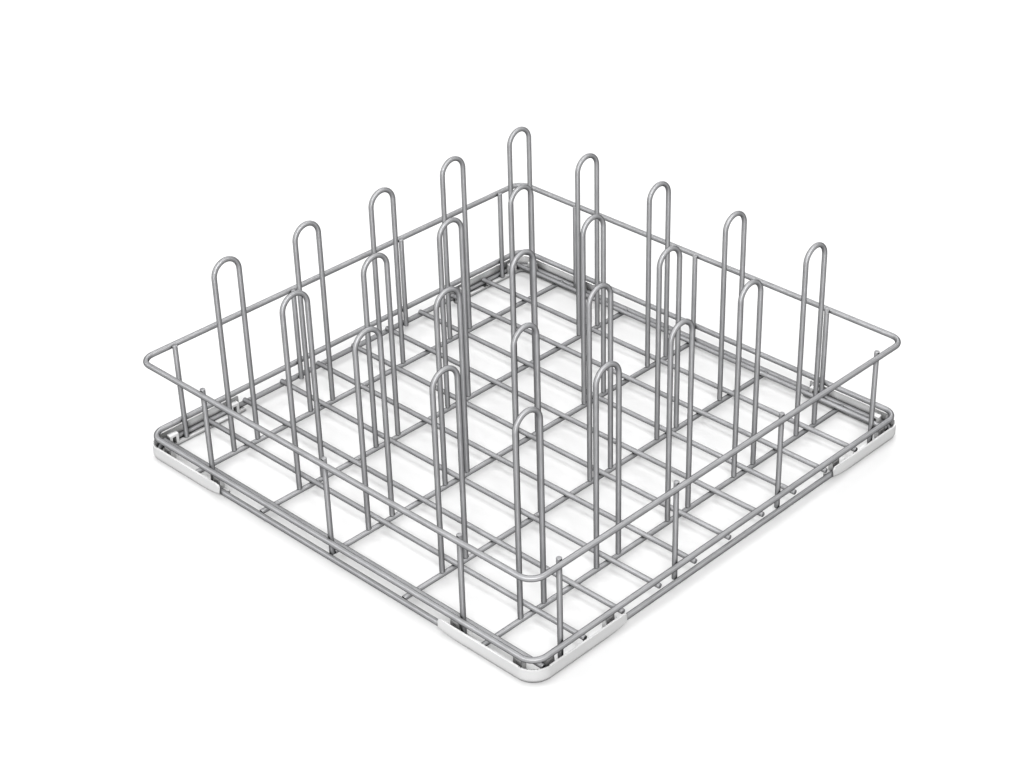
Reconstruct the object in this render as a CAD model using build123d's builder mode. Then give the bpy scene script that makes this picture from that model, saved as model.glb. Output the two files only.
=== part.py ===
from build123d import *
import os

# A square wire rack for glasses. Three welded rings and upright posts make the frame, crossed wires
# make the floor, rows of tall hairpin dividers stand on it, and a moulded skid clips onto each corner.
# Millimetres, +Z up, origin on the surface that the rack stands on, under its middle.

# Wires
ring_wire = 5.3  # diameter of the rim and the two rings below it
rod_wire = 4.8  # diameter of the floor wires, posts and dividers
weld_gap = 0.1  # left between wires that are welded to each other

# Frame
rack_width = 500.0  # both ways, across the outer faces of the corner pieces
ring_bend = 14.3  # radius of the ring corners, at the axis of the wire
rim_z = 101.2  # height of the top rim's axis
side_ring_z = 21.4  # height of the middle ring's axis
post_top_above_rim = 2.4  # from the rim's axis to the top of a post
post_foot_below_ring = 0.8  # from the base ring's axis to the foot of a post
front_post_inset = 35.5  # from a ring's corner to the nearest post on the front and back

# Floor and dividers
pocket_pitch = 92.0  # from divider to divider, both ways
pockets = 5  # dividers along each side
edge_wire_inset = 13.0  # from the base ring's axis to the outermost floor wire
floor_wire_setback = 2.0  # floor wires end this far inside the base ring's axis
divider_top_z = 203.9  # height of the top of a divider
divider_legs = 27.6  # between the axes of a divider's legs

# Corner pieces
corner_wall = 2.0  # thickness of the outer wall
corner_floor = 2.6  # thickness of the sole under the base ring
corner_clearance = 0.2  # between the base ring and the wall, lip and hooks
corner_seat = 0.1  # between the base ring and the sole
corner_height = 14.6  # from the underside to the top of the wall
lip_height = 4.4  # from the underside to the top of the inner lip
lip_reach = 7.2  # from the base ring's axis to the inner face of the lip
notch_clearance = 0.4  # around a cross wire where it passes through the lip
arm_past_wire = 3.0  # from the third floor wire to the end of an arm
end_round = 2.0  # upper corner of an arm's end
ramp_length = 36.0  # of the skid's curve up at the end of an arm
ramp_rise = 1.75  # square to the ramp's slant
ramp_slant = 46.0  # degrees, so that the curve lifts the outer edge and leaves the lip
skid_round = 4.9  # outer lower edge
lip_round = 2.8  # inner lower edge
edge_round = 0.8  # other long edges
seat_round = 2.4  # inside, from the sole to the wall
lip_seat_round = 1.6  # inside, from the sole to the lip

# Snap hooks
hook_width = 10.0
hook_above_ring = 7.5  # from the top of the base ring to the top of a hook
hook_fall = 1.5  # of a hook's top towards the inside
hook_gap = 0.3  # from a post or a floor wire to the hook beside it
hook_round = 1.2  # upper corners of the arch
window_width = 4.0
window_height = 7.3  # above the lip
nose_wrap = 40.0  # degrees that the nose wraps over the base ring
nose_land = 1.2  # height of the blunt tip of the nose
nose_lead_in = 0.7  # width of the sloping face above it

# Heights and places that follow from these
ring_radius = ring_wire / 2
rod_radius = rod_wire / 2
ring_half = rack_width / 2 - corner_wall - corner_clearance - ring_radius
base_ring_z = corner_floor + corner_seat + ring_radius
floor_wire_z = base_ring_z + ring_radius + weld_gap + rod_radius
cross_wire_z = floor_wire_z - rod_wire - weld_gap
divider_foot_z = cross_wire_z + rod_radius + weld_gap
floor_pitch = pocket_pitch / 2
post_axis = ring_half - ring_radius - weld_gap - rod_radius
post_foot_z = base_ring_z - post_foot_below_ring
post_length = rim_z + post_top_above_rim - post_foot_z
front_post = ring_half - front_post_inset
side_post = 3.5 * floor_pitch
edge_wire = ring_half - edge_wire_inset

os.makedirs("parts", exist_ok=True)


def save(part, name):
    part.label = name
    export_step(part, f"parts/{name}.step")


def spread(count, pitch):
    """Places of evenly pitched copies about the middle."""
    return [(index - (count - 1) / 2) * pitch for index in range(count)]


# Rings, each one wire bent round four corners and welded end to end
for ring_name, ring_z in (("base_ring", base_ring_z), ("side_ring", side_ring_z), ("top_rim", rim_z)):
    with BuildPart() as ring:
        with BuildLine(Plane.XY.offset(ring_z)) as ring_path:
            FilletPolyline(
                (ring_half, -ring_half),
                (ring_half, ring_half),
                (-ring_half, ring_half),
                (-ring_half, -ring_half),
                radius=ring_bend,
                close=True,
            )
        with BuildSketch(Plane(origin=ring_path.line @ 0, z_dir=ring_path.line % 0)):
            Circle(ring_radius)
        sweep(path=ring_path.line)
    save(ring.part, ring_name)

# Floor wires, front to back, lying on the base ring
floor_wire_x = [-edge_wire, *spread(2 * pockets - 1, floor_pitch), edge_wire]
floor_wire_half = ring_half - floor_wire_setback
for number, x in enumerate(floor_wire_x, start=1):
    with BuildPart() as floor_wire:
        with BuildSketch(Plane.XZ):
            with Locations((x, floor_wire_z)):
                Circle(rod_radius)
        extrude(amount=floor_wire_half, both=True)
    save(floor_wire.part, f"floor_wire_{number:02d}")

# Cross wires, side to side under the floor wires, butted against the base ring or, in the middle, a post
row_y = spread(pockets, pocket_pitch)
for number, y in enumerate(row_y, start=1):
    meets_post = abs(y) < rod_wire
    stop = post_axis - rod_radius if meets_post else ring_half - ring_radius
    with BuildPart() as cross_wire:
        with BuildSketch(Plane.YZ):
            with Locations((y, cross_wire_z)):
                Circle(rod_radius)
        extrude(amount=stop - weld_gap, both=True)
    save(cross_wire.part, f"cross_wire_{number}")

# Hairpin divider, standing astride a floor wire with both feet on a cross wire
leg_x = divider_legs / 2
bend_z = divider_top_z - rod_radius - leg_x
with BuildPart() as divider:
    with BuildLine(Plane.XZ) as hairpin:
        Line((-leg_x, divider_foot_z), (-leg_x, bend_z))
        ThreePointArc((-leg_x, bend_z), (0, bend_z + leg_x), (leg_x, bend_z))
        Line((leg_x, bend_z), (leg_x, divider_foot_z))
    with BuildSketch(Plane.XY.offset(divider_foot_z)):
        with Locations((-leg_x, 0)):
            Circle(rod_radius)
    sweep(path=hairpin.line)

for number, y in enumerate(row_y, start=1):
    with BuildPart() as divider_row:
        with Locations([(x, y, 0) for x in row_y]):
            add(divider.part)
    save(divider_row.part, f"divider_row_{number}")

# Posts, welded to the inner side of all three rings
front_x = spread(4, 2 * front_post / 3)
side_y = spread(3, side_post)
post_rows = {
    "front_posts": [(x, -post_axis) for x in front_x],
    "back_posts": [(x, post_axis) for x in front_x],
    "left_posts": [(-post_axis, y) for y in side_y],
    "right_posts": [(post_axis, y) for y in side_y],
}
for row_name, places in post_rows.items():
    with BuildPart() as posts:
        with BuildSketch(Plane.XY.offset(post_foot_z)):
            with Locations(places):
                Circle(rod_radius)
        extrude(amount=post_length)
    save(posts.part, row_name)

# Snap hook, an arch with a nose over the base ring, about the ring's axis in the plane X = 0
wall_face = ring_radius + corner_clearance
hook_top = base_ring_z + ring_radius + hook_above_ring
hook_root = lip_height / 2
with BuildPart() as hook:
    with BuildSketch(Plane.YZ):
        with BuildLine():
            nose = CenterArc((0, base_ring_z), wall_face, 180 - nose_wrap, nose_wrap)
            tip = nose @ 0
            lead_in = tip + Vector(0, nose_land)
            Polyline(
                tip,
                lead_in,
                (lead_in.X - nose_lead_in, hook_top),
                (-lip_reach, hook_top - hook_fall),
                (-lip_reach, hook_root),
                (-wall_face, hook_root),
                nose @ 1,
            )
        make_face()
    extrude(amount=hook_width / 2, both=True)
    with BuildSketch(Plane.XZ) as arch:
        with Locations((0, hook_root)):
            Rectangle(hook_width, hook_top - hook_root, align=(Align.CENTER, Align.MIN))
        fillet(arch.vertices().group_by(Axis.Y)[-1], radius=hook_round)
        with Locations((0, lip_height)):
            Rectangle(window_width, window_height, align=(Align.CENTER, Align.MIN), mode=Mode.SUBTRACT)
    extrude(amount=2 * lip_reach, both=True, mode=Mode.INTERSECT)

# Corner piece: half of it is an arm along X that ends on the corner's diagonal, and the rest mirrors it
arm_end = 3 * floor_pitch + arm_past_wire
bend_start = ring_half - ring_bend
corner_hook_x = edge_wire - rod_radius - hook_gap - hook_width / 2
end_hook_x = side_post - rod_radius - hook_gap - hook_width / 2
notch_bottom = cross_wire_z - rod_radius - notch_clearance
outer_face = wall_face + corner_wall
diagonal = Plane(origin=(0, 0, 0), x_dir=(1, 1, 0), z_dir=(1, -1, 0))

# The ramp's plane touches the skid's rounding along its length, and its normal lies along the slant
slant = Vector(0, 1, 0).rotate(Axis.X, ramp_slant)
up_from_slant = Vector(0, 0, 1).rotate(Axis.X, ramp_slant)
round_centre = Vector(0, ring_half + outer_face - skid_round, skid_round)
ramp_plane = Plane(origin=round_centre - up_from_slant * skid_round, x_dir=(1, 0, 0), z_dir=-slant)

with BuildPart() as corner:
    with BuildLine() as arm_path:
        Line((arm_end, ring_half), (bend_start, ring_half))
        CenterArc((bend_start, bend_start), ring_bend, 90, -45)
    with BuildSketch(Plane(origin=(arm_end, ring_half, 0), x_dir=(0, 1, 0), z_dir=(1, 0, 0))) as channel:
        with BuildLine():
            Polyline(
                (-lip_reach, 0),
                (outer_face, 0),
                (outer_face, corner_height),
                (wall_face, corner_height),
                (wall_face, corner_floor),
                (-wall_face, corner_floor),
                (-wall_face, lip_height),
                (-lip_reach, lip_height),
                close=True,
            )
        make_face()
        under_edges = channel.vertices().group_by(Axis.Y)[0].sort_by(Axis.X)
        seat_edges = channel.vertices().group_by(Axis.Y)[1].sort_by(Axis.X)
        lip_edge = channel.vertices().group_by(Axis.Y)[2].sort_by(Axis.X)[0]
        wall_top = channel.vertices().group_by(Axis.Y)[-1]
        fillet(under_edges[0], radius=lip_round)
        fillet(under_edges[-1], radius=skid_round)
        fillet(seat_edges[0], radius=lip_seat_round)
        fillet(seat_edges[-1], radius=seat_round)
        fillet([lip_edge, *wall_top], radius=edge_round)
    sweep(path=arm_path.line)
    with BuildSketch(Plane.XZ.offset(-ring_half)):
        with Locations((row_y[-1], notch_bottom)):
            Rectangle(rod_wire + 2 * notch_clearance, lip_height, align=(Align.CENTER, Align.MIN))
    extrude(amount=2 * lip_reach, mode=Mode.SUBTRACT)
    with Locations((corner_hook_x, ring_half), (end_hook_x, ring_half)):
        add(hook.part)
    with BuildSketch(ramp_plane):
        with BuildLine():
            TangentArc((arm_end + ramp_length, 0), (arm_end, ramp_rise), tangent=(-1, 0))
            Polyline((arm_end, ramp_rise), (arm_end, 0), (arm_end + ramp_length, 0))
        make_face()
    extrude(amount=rack_width, both=True, mode=Mode.SUBTRACT)
    round_start = (arm_end + end_round, corner_height)
    round_stop = (arm_end, corner_height - end_round)
    with BuildSketch(Plane.XZ):
        with BuildLine():
            TangentArc(round_start, round_stop, tangent=(-1, 0))
            Polyline(round_stop, (arm_end, corner_height), round_start)
        make_face()
    extrude(amount=rack_width, both=True, mode=Mode.SUBTRACT)
    mirror(about=diagonal)

for turn, corner_name in enumerate(("back_right", "back_left", "front_left", "front_right")):
    save(corner.part.rotate(Axis.Z, 90 * turn), f"corner_{corner_name}")
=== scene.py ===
import math

import bmesh
import bpy
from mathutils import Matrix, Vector


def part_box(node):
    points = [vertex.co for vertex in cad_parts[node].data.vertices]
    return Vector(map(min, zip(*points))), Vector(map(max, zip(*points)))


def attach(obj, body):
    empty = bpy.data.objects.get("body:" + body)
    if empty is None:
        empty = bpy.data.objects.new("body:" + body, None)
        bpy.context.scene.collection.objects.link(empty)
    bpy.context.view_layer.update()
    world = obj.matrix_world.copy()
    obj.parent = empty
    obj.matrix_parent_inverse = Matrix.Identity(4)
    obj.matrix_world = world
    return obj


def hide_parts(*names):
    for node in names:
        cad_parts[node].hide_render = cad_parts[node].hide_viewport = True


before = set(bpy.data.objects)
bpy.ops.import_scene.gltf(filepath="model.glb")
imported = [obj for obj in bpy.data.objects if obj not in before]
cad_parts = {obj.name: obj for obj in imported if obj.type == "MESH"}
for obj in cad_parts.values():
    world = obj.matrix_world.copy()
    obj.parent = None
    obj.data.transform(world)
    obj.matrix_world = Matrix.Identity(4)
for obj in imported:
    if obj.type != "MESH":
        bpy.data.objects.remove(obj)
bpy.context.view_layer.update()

# Sizes are in metres. These are the ones that the frame's boxes don't give.
RING_BEND = 0.0143  # corner radius of the rings, at the axis of the wire
DIVIDER_LEGS = 0.0276  # between the axes of a divider's legs
END_ROUND = 0.0005  # broken edge of a cut wire

# Corner skids
CORNER_OUT = 0.25  # from the rack's middle to a corner piece's outer face
CORNER_BEND = 0.01915  # radius of the outer face
ARM_END = 0.141  # from the rack's middle to the end of an arm
SKID_ROUND = 0.0049  # outer lower edge
SWEEP_LENGTH = 0.032  # of the edge's curve up at the end of an arm
SWEEP_RISE = 0.0043
SWEEP_POWER = 2.4  # how late the curve turns up
ROUND_LIFT = 0.53  # share of the rounding that turns into lift along the curve
LEAST_ROUND = 0.03  # share of the rounding that is left at the end of an arm
CUT_MARGIN = 0.003  # by which the cutter reaches out of the solid
END_MARGIN = 0.002  # the same, past the end of an arm
WELD_DISTANCE = 1e-6
SHARP_ANGLE = 32  # degrees

# Fineness of the meshes
WIRE_SIDES = 24
BEND_STEPS = 24
SWEEP_STEPS = 15
ROUND_STEPS = 6
END_ANGLES = (0, 30, 60, 90)

# Camera, solved from the wire grid in the photograph
CAMERA_PLACE = (-1.10337, -1.09840, 1.02606)
CAMERA_FORWARD = (0.6317, 0.5710, -0.5243)
CAMERA_LENS = 70.09
CAMERA_SENSOR = 36
CAMERA_SHIFT = (-0.0934, -0.0028)

STEEL = (0.80, 0.803, 0.812)
PLASTIC = (0.75, 0.75, 0.75)

# Studio
FLOOR_HALF = 30.0
FLOOR_SEEN = 0.58
FLOOR_GLOW = 0.17
FLOOR_UNSEEN = 0.07
WORLD_STRENGTH = 0.18
LAMP_TARGET = (0, 0, 0.08)
LAMP_DISTANCE = 9.0
LAMPS = (  # name, direction from the rack, side, watts
    ("overhead", (0.05, 0.1, 1.0), 4.5, 380),
    ("key", (-0.55, -0.54, 0.63), 4.2, 1000),
    ("back", (-0.63, 0.57, 0.52), 3.0, 230),
    ("far", (0.76, 0.52, 0.38), 5.4, 650),
)


def spread(low, high, count):
    """Evenly spaced values from low to high."""
    return [low + (high - low) * index / (count - 1) for index in range(count)]


def link(item):
    bpy.context.scene.collection.objects.link(item)
    return item


# Wires

def wire_mesh(name, paths, radius, closed=False):
    """One mesh of round tubes along flat paths, with U running along each wire and V around it."""
    mesh = bpy.data.meshes.new(name)
    bm = bmesh.new()
    uv = bm.loops.layers.uv.new("UVMap")
    for path in paths:
        add_tube(bm, uv, [Vector(point) for point in path], radius, closed)
    bm.to_mesh(mesh)
    bm.free()
    mesh.shade_smooth()
    return link(bpy.data.objects.new(name, mesh))


def path_normal(path):
    """A unit vector square to a flat path."""
    first = (path[1] - path[0]).normalized()
    for a, b in zip(path[1:], path[2:]):
        normal = first.cross((b - a).normalized())
        if normal.length > 1e-4:
            return normal.normalized()
    return first.orthogonal().normalized()


def path_stations(path, radius, closed):
    """Point, tangent, mitre, radius and distance along the wire, at each point of the path."""
    count = len(path)
    along = [0.0]
    for a, b in zip(path, path[1:]):
        along.append(along[-1] + (b - a).length)
    stations = []
    for index, point in enumerate(path):
        before = path[index - 1] if index > 0 or closed else path[0]
        after = path[(index + 1) % count] if index < count - 1 or closed else path[-1]
        toward = (after - point).normalized() if after != point else (point - before).normalized()
        come = (point - before).normalized() if before != point else toward
        tangent = (toward + come).normalized()
        widen = 1 / max(0.2, tangent.dot(toward))
        stations.append((point, tangent, widen, radius, along[index]))
    return stations if closed else rounded_ends(stations, radius)


def rounded_ends(stations, radius):
    """Breaks the sharp edge of both cut ends of a wire."""
    def end(station, inward):
        point, tangent, widen, _, u = station
        made = []
        for angle in END_ANGLES:
            drop = END_ROUND * (1 - math.sin(math.radians(angle)))
            shrink = END_ROUND * (1 - math.cos(math.radians(angle)))
            made.append((point + inward * drop, tangent, widen, radius - shrink, u))
        return made

    first = end(stations[0], stations[0][1])
    last = end(stations[-1], -stations[-1][1])
    return [*reversed(first), *stations[1:-1], *last]


def add_tube(bm, uv, path, radius, closed):
    """Rings of points along the path, joined by quads and closed by caps at open ends."""
    normal = path_normal(path)
    rings = []
    for point, tangent, widen, size, u in path_stations(path, radius, closed):
        side = tangent.cross(normal).normalized()
        ring = []
        for step in range(WIRE_SIDES):
            angle = 2 * math.pi * step / WIRE_SIDES
            offset = side * math.cos(angle) * widen + normal * math.sin(angle)
            ring.append(bm.verts.new(point + offset * size))
        rings.append((ring, u))
    if closed:
        total = rings[-1][1] + (path[0] - path[-1]).length
        rings.append((rings[0][0], total))
    for (ring, u0), (after, u1) in zip(rings, rings[1:]):
        for step in range(WIRE_SIDES):
            following = (step + 1) % WIRE_SIDES
            face = bm.faces.new((ring[step], ring[following], after[following], after[step]))
            v0, v1 = step / WIRE_SIDES, (step + 1) / WIRE_SIDES
            for loop, place in zip(face.loops, ((u0, v0), (u0, v1), (u1, v1), (u1, v0))):
                loop[uv].uv = place
    if not closed:
        bm.faces.new(list(reversed(rings[0][0])))
        bm.faces.new(rings[-1][0])


def ring_path(half, bend, z):
    """A rounded square, counter-clockwise."""
    points = []
    for quarter, (sx, sy) in enumerate(((1, 1), (-1, 1), (-1, -1), (1, -1))):
        for step in range(BEND_STEPS + 1):
            angle = math.radians(90 * quarter + 90 * step / BEND_STEPS)
            x = sx * (half - bend) + bend * math.cos(angle)
            y = sy * (half - bend) + bend * math.sin(angle)
            points.append((x, y, z))
    return points


def hairpin_path(x, y, foot, top, legs, radius):
    """Up one leg, round the bend and down the other."""
    bend = legs / 2
    middle = top - radius - bend
    points = [(x - bend, y, foot)]
    for step in range(2 * BEND_STEPS + 1):
        angle = math.pi * (1 - step / (2 * BEND_STEPS))
        points.append((x + bend * math.cos(angle), y, middle + bend * math.sin(angle)))
    points.append((x + bend, y, foot))
    return points


# Corner skids

def skid_section(reach):
    """Outline of what comes off the outer edge, as inward distance and height, at a reach from the arm's end."""
    share = min(max(reach / SWEEP_LENGTH, LEAST_ROUND), 1)
    radius = SKID_ROUND * share
    lift = SWEEP_RISE * (1 - share) ** SWEEP_POWER + ROUND_LIFT * (SKID_ROUND - radius)
    points = [(-CUT_MARGIN, -CUT_MARGIN), (-CUT_MARGIN, lift + radius)]
    for step in range(ROUND_STEPS + 1):
        angle = math.radians(90 * step / ROUND_STEPS)
        points.append((radius * (1 - math.cos(angle)), lift + radius * (1 - math.sin(angle))))
    points.append((radius + lift + CUT_MARGIN, -CUT_MARGIN))
    return points


def skid_cutter(sx, sy):
    """A closed tube along the outer bottom edge of one corner piece."""
    straight = CORNER_OUT - CORNER_BEND
    arm = []
    for reach in (-END_MARGIN, *spread(0, SWEEP_LENGTH, SWEEP_STEPS), straight - ARM_END):
        arm.append((Vector((ARM_END + reach, CORNER_OUT)), Vector((0, 1)), reach))
    stations = list(arm)
    for step in range(1, BEND_STEPS):
        angle = math.pi / 2 * (1 - step / BEND_STEPS)
        out = Vector((math.cos(angle), math.sin(angle)))
        stations.append((Vector((straight, straight)) + out * CORNER_BEND, out, straight - ARM_END))
    stations += [(point.yx, out.yx, reach) for point, out, reach in reversed(arm)]
    bm = bmesh.new()
    rings = []
    for point, out, reach in stations:
        ring = []
        for inward, z in skid_section(reach):
            place = point - out * inward
            ring.append(bm.verts.new((sx * place.x, sy * place.y, z)))
        rings.append(ring)
    for ring, after in zip(rings, rings[1:]):
        for index in range(len(ring)):
            following = (index + 1) % len(ring)
            bm.faces.new((ring[index], ring[following], after[following], after[index]))
    bm.faces.new(rings[0])
    bm.faces.new(rings[-1])
    bmesh.ops.recalc_face_normals(bm, faces=bm.faces)
    mesh = bpy.data.meshes.new("skid_cutter")
    bm.to_mesh(mesh)
    bm.free()
    return link(bpy.data.objects.new("skid_cutter", mesh))


def apply_modifiers(piece):
    evaluated = piece.evaluated_get(bpy.context.evaluated_depsgraph_get())
    piece.data = bpy.data.meshes.new_from_object(evaluated)
    piece.modifiers.clear()


def keep_largest(mesh):
    """Deletes the slivers that a cut leaves loose."""
    bm = bmesh.new()
    bm.from_mesh(mesh)
    shells, reached = [], set()
    for start in bm.faces:
        if start in reached:
            continue
        shell, waiting = [], [start]
        reached.add(start)
        while waiting:
            face = waiting.pop()
            shell.append(face)
            for edge in face.edges:
                for neighbour in edge.link_faces:
                    if neighbour not in reached:
                        reached.add(neighbour)
                        waiting.append(neighbour)
        shells.append(shell)
    shells.sort(key=len)
    loose = [face for shell in shells[:-1] for face in shell]
    bmesh.ops.delete(bm, geom=loose, context="FACES")
    bm.to_mesh(mesh)
    bm.free()


def corner_skid(node, sx, sy):
    """The solid's own mesh, with its outer bottom edge rounded and swept up at both ends."""
    bm = bmesh.new()
    bm.from_mesh(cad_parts[node].data)
    bmesh.ops.remove_doubles(bm, verts=bm.verts, dist=WELD_DISTANCE)
    mesh = bpy.data.meshes.new(f"{node}_skid")
    bm.to_mesh(mesh)
    bm.free()
    piece = link(bpy.data.objects.new(f"{node}_skid", mesh))
    cutter = skid_cutter(sx, sy)
    cut = piece.modifiers.new("edge", "BOOLEAN")
    cut.operation = "DIFFERENCE"
    cut.solver = "EXACT"
    cut.object = cutter
    apply_modifiers(piece)
    bpy.data.objects.remove(cutter)
    keep_largest(piece.data)
    piece.data.shade_smooth()
    piece.data.set_sharp_from_angle(angle=math.radians(SHARP_ANGLE))
    even = piece.modifiers.new("even", "WEIGHTED_NORMAL")
    even.weight = 100
    even.keep_sharp = True
    apply_modifiers(piece)
    return piece


# Materials

def new_material(name, sockets):
    """A material with these values on its shader's sockets, its node tree and that shader."""
    material = bpy.data.materials.new(name)
    material.use_nodes = True
    shader = material.node_tree.nodes["Principled BSDF"]
    for socket, value in sockets.items():
        shader.inputs[socket].default_value = value
    return material, material.node_tree, shader


def noise(tree, vector, scale, detail):
    texture = tree.nodes.new("ShaderNodeTexNoise")
    texture.inputs["Scale"].default_value = scale
    texture.inputs["Detail"].default_value = detail
    tree.links.new(vector, texture.inputs["Vector"])
    return texture.outputs["Fac"]


def clouded(tree, factor, color, shares, span=(0, 1)):
    """The colour, drifting between a darker and a lighter share of it."""
    ramp = tree.nodes.new("ShaderNodeValToRGB")
    for index in (0, 1):
        stop = ramp.color_ramp.elements[index]
        stop.position = span[index]
        stop.color = (*[c * shares[index] for c in color], 1)
    tree.links.new(factor, ramp.inputs["Fac"])
    return ramp.outputs["Color"]


def painted_crevice_shade(tree, color, reach, darkest):
    """The colour with painted shade: darkened by ambient occlusion where surfaces lie close together."""
    hollow = tree.nodes.new("ShaderNodeAmbientOcclusion")
    hollow.samples = 8
    hollow.inputs["Distance"].default_value = reach
    level = tree.nodes.new("ShaderNodeMapRange")
    level.inputs["From Min"].default_value = 0.25
    level.inputs["From Max"].default_value = 0.8
    level.inputs["To Min"].default_value = darkest
    tree.links.new(hollow.outputs["AO"], level.inputs["Value"])
    mix = tree.nodes.new("ShaderNodeMix")
    mix.data_type = "RGBA"
    mix.blend_type = "MULTIPLY"
    mix.inputs["Factor"].default_value = 1.0
    tree.links.new(color, mix.inputs["A"])
    tree.links.new(level.outputs["Result"], mix.inputs["B"])
    return mix.outputs["Result"]


def bumped(tree, height, strength, distance):
    bump = tree.nodes.new("ShaderNodeBump")
    bump.inputs["Strength"].default_value = strength
    bump.inputs["Distance"].default_value = distance
    tree.links.new(height, bump.inputs["Height"])
    return bump.outputs["Normal"]


def steel_material():
    """Satin wire: highlights drawn out along it, a tinted coat that darkens its edges, and painted shade where
    it lies close to other surfaces.
    """
    material, tree, shader = new_material("satin_steel", {
        "Metallic": 0.40,
        "Anisotropic": 1.0,
        "Specular Tint": (0.2, 0.2, 0.2, 1),
        "Specular IOR Level": 0.05,
        "Coat Weight": 1.0,
        "Coat IOR": 1.03,
        "Coat Roughness": 0.4,
        "Coat Tint": (0.54, 0.54, 0.545, 1),
    })
    tangent = tree.nodes.new("ShaderNodeTangent")
    tangent.direction_type = "UV_MAP"
    tree.links.new(tangent.outputs["Tangent"], shader.inputs["Tangent"])

    place = tree.nodes.new("ShaderNodeTexCoord")
    cloud = noise(tree, place.outputs["Object"], 60, 4)
    tone = clouded(tree, cloud, STEEL, (0.93, 1.05), (0.35, 0.65))
    # Painted shade: the base colour is darkened where the wires cross and lie close to other surfaces.
    tree.links.new(painted_crevice_shade(tree, tone, 0.008, 0.12), shader.inputs["Base Color"])

    stretch = tree.nodes.new("ShaderNodeMapping")
    stretch.inputs["Scale"].default_value = (120, 60, 1)
    tree.links.new(place.outputs["UV"], stretch.inputs["Vector"])
    drawn = noise(tree, stretch.outputs["Vector"], 1, 3)
    rough = tree.nodes.new("ShaderNodeMapRange")
    rough.inputs["To Min"].default_value = 0.34
    rough.inputs["To Max"].default_value = 0.44
    tree.links.new(drawn, rough.inputs["Value"])
    tree.links.new(rough.outputs["Result"], shader.inputs["Roughness"])
    tree.links.new(bumped(tree, drawn, 0.08, 0.0002), shader.inputs["Normal"])
    return material


def plastic_material():
    """Semi-matt moulded plastic with a fine grain, and painted shade in its crevices."""
    material, tree, shader = new_material("moulded_plastic", {"Roughness": 0.42})
    place = tree.nodes.new("ShaderNodeTexCoord")
    cloud = noise(tree, place.outputs["Object"], 25, 3)
    tone = clouded(tree, cloud, PLASTIC, (0.95, 1.03))
    # Painted shade: the base colour is darkened in crevices, such as the channels of the corner pieces.
    tree.links.new(painted_crevice_shade(tree, tone, 0.012, 0.12), shader.inputs["Base Color"])
    grain = noise(tree, place.outputs["Object"], 2500, 2)
    tree.links.new(bumped(tree, grain, 0.1, 0.00005), shader.inputs["Normal"])
    return material


def seen_directly(tree):
    """One for camera, glossy and transmission rays, and zero for the rest."""
    path = tree.nodes.new("ShaderNodeLightPath")
    seen = path.outputs["Is Camera Ray"]
    for ray in ("Is Glossy Ray", "Is Transmission Ray"):
        either = tree.nodes.new("ShaderNodeMath")
        either.operation = "MAXIMUM"
        tree.links.new(seen, either.inputs[0])
        tree.links.new(path.outputs[ray], either.inputs[1])
        seen = either.outputs["Value"]
    return seen


def floor_material():
    """Paper that is white with soft shadows where it is seen, and throws little light back on the rack."""
    material = bpy.data.materials.new("studio_floor")
    material.use_nodes = True
    tree = material.node_tree
    tree.nodes.clear()
    paper = tree.nodes.new("ShaderNodeBsdfDiffuse")
    paper.inputs["Color"].default_value = (FLOOR_SEEN, FLOOR_SEEN, FLOOR_SEEN, 1)
    glow = tree.nodes.new("ShaderNodeEmission")
    glow.inputs["Strength"].default_value = FLOOR_GLOW
    seen = tree.nodes.new("ShaderNodeAddShader")
    tree.links.new(paper.outputs["BSDF"], seen.inputs[0])
    tree.links.new(glow.outputs["Emission"], seen.inputs[1])
    unseen = tree.nodes.new("ShaderNodeBsdfDiffuse")
    unseen.inputs["Color"].default_value = (FLOOR_UNSEEN, FLOOR_UNSEEN, FLOOR_UNSEEN, 1)
    both = tree.nodes.new("ShaderNodeMixShader")
    tree.links.new(seen_directly(tree), both.inputs["Fac"])
    tree.links.new(unseen.outputs["BSDF"], both.inputs[1])
    tree.links.new(seen.outputs["Shader"], both.inputs[2])
    output = tree.nodes.new("ShaderNodeOutputMaterial")
    tree.links.new(both.outputs["Shader"], output.inputs["Surface"])
    return material


# The rack

def dress(piece, node, material):
    """The piece stands for the solid: it takes the material and the root body, and the solid is hidden."""
    piece.data.materials.clear()
    piece.data.materials.append(material)
    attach(piece, "root")
    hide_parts(node)


steel = steel_material()
plastic = plastic_material()

# Frame rings
for node in ("base_ring", "side_ring", "top_rim"):
    low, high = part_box(node)
    radius = (high.z - low.z) / 2
    path = ring_path(high.x - radius, RING_BEND, (low.z + high.z) / 2)
    dress(wire_mesh(f"{node}_wire", [path], radius, closed=True), node, steel)

# Straight wires of the floor, along Y and then along X
floor_wires = [(f"floor_wire_{number:02d}", 1) for number in range(1, 12)]
cross_wires = [(f"cross_wire_{number}", 0) for number in range(1, 6)]
for node, axis in floor_wires + cross_wires:
    low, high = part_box(node)
    start = (low + high) / 2
    stop = start.copy()
    start[axis], stop[axis] = low[axis], high[axis]
    dress(wire_mesh(f"{node}_rod", [[start, stop]], (high.z - low.z) / 2), node, steel)

# Hairpin dividers, five in each row
for number in range(1, 6):
    node = f"divider_row_{number}"
    low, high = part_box(node)
    radius = (high.y - low.y) / 2
    reach = DIVIDER_LEGS / 2 + radius
    y = (low.y + high.y) / 2
    paths = [
        hairpin_path(x, y, low.z, high.z, DIVIDER_LEGS, radius)
        for x in spread(low.x + reach, high.x - reach, 5)
    ]
    dress(wire_mesh(f"{node}_hairpins", paths, radius), node, steel)

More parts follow.
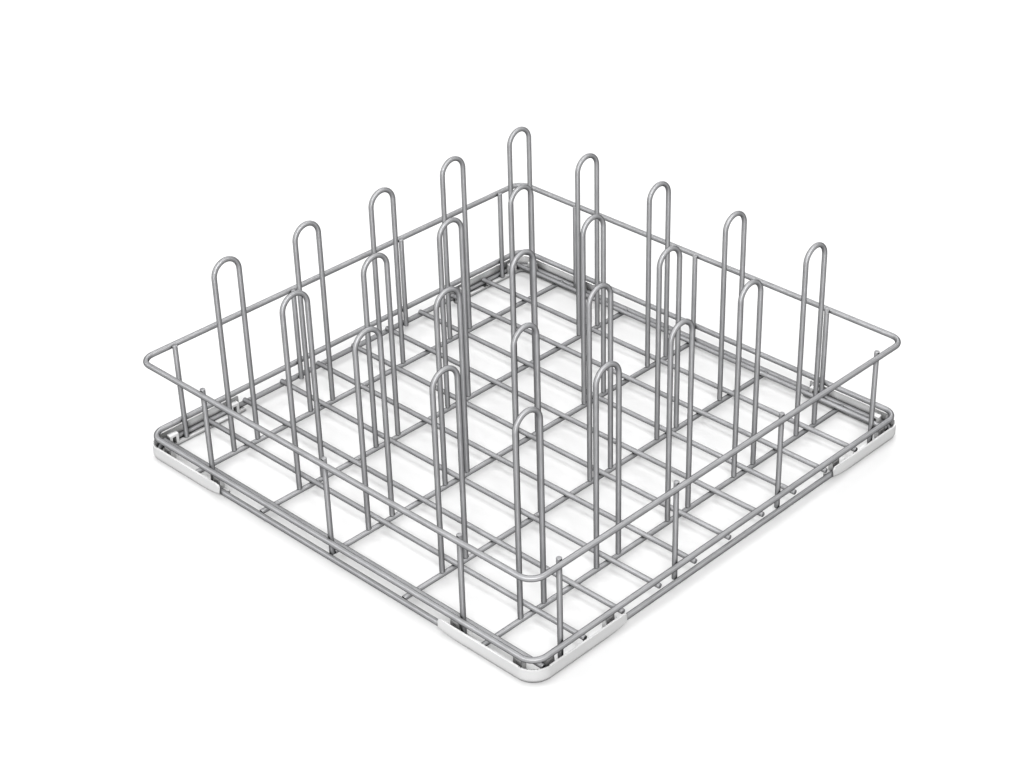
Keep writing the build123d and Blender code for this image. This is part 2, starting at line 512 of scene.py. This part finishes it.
# Posts
for node, count in (("front_posts", 4), ("back_posts", 4), ("left_posts", 3), ("right_posts", 3)):
    low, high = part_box(node)
    radius = min(high.x - low.x, high.y - low.y) / 2
    inset = Vector((radius, radius, 0))
    start, stop = low + inset, high - inset
    places = zip(spread(start.x, stop.x, count), spread(start.y, stop.y, count))
    paths = [[(x, y, low.z), (x, y, high.z)] for x, y in places]
    dress(wire_mesh(f"{node}_rods", paths, radius), node, steel)

# Corner pieces
for node, sx, sy in (
    ("corner_front_left", -1, -1),
    ("corner_front_right", 1, -1),
    ("corner_back_left", -1, 1),
    ("corner_back_right", 1, 1),
):
    dress(corner_skid(node, sx, sy), node, plastic)

# Floor
floor_mesh = bpy.data.meshes.new("floor")
floor_corners = [(FLOOR_HALF * x, FLOOR_HALF * y, 0) for x, y in ((-1, -1), (1, -1), (1, 1), (-1, 1))]
floor_mesh.from_pydata(floor_corners, [], [(0, 1, 2, 3)])
floor = link(bpy.data.objects.new("floor", floor_mesh))
floor.data.materials.append(floor_material())

# World
world = bpy.data.worlds.new("studio")
bpy.context.scene.world = world
world.use_nodes = True
background = world.node_tree.nodes["Background"]
background.inputs["Color"].default_value = (1, 1, 1, 1)
background.inputs["Strength"].default_value = WORLD_STRENGTH

# Square soft lamps that look at the middle of the rack
target = Vector(LAMP_TARGET)
for name, direction, side, power in LAMPS:
    lamp = bpy.data.lights.new(name, "AREA")
    lamp.shape = "SQUARE"
    lamp.size = side
    lamp.energy = power
    holder = link(bpy.data.objects.new(name, lamp))
    holder.location = target + Vector(direction).normalized() * LAMP_DISTANCE
    holder.rotation_euler = (target - holder.location).to_track_quat("-Z", "Y").to_euler()

# Camera
camera_data = bpy.data.cameras.new("camera")
camera_data.lens = CAMERA_LENS
camera_data.sensor_width = CAMERA_SENSOR
camera_data.shift_x, camera_data.shift_y = CAMERA_SHIFT
camera = link(bpy.data.objects.new("camera", camera_data))
camera.location = CAMERA_PLACE
camera.rotation_euler = Vector(CAMERA_FORWARD).to_track_quat("-Z", "Y").to_euler()
bpy.context.scene.camera = camera
bpy.context.scene.view_settings.view_transform = "Standard"
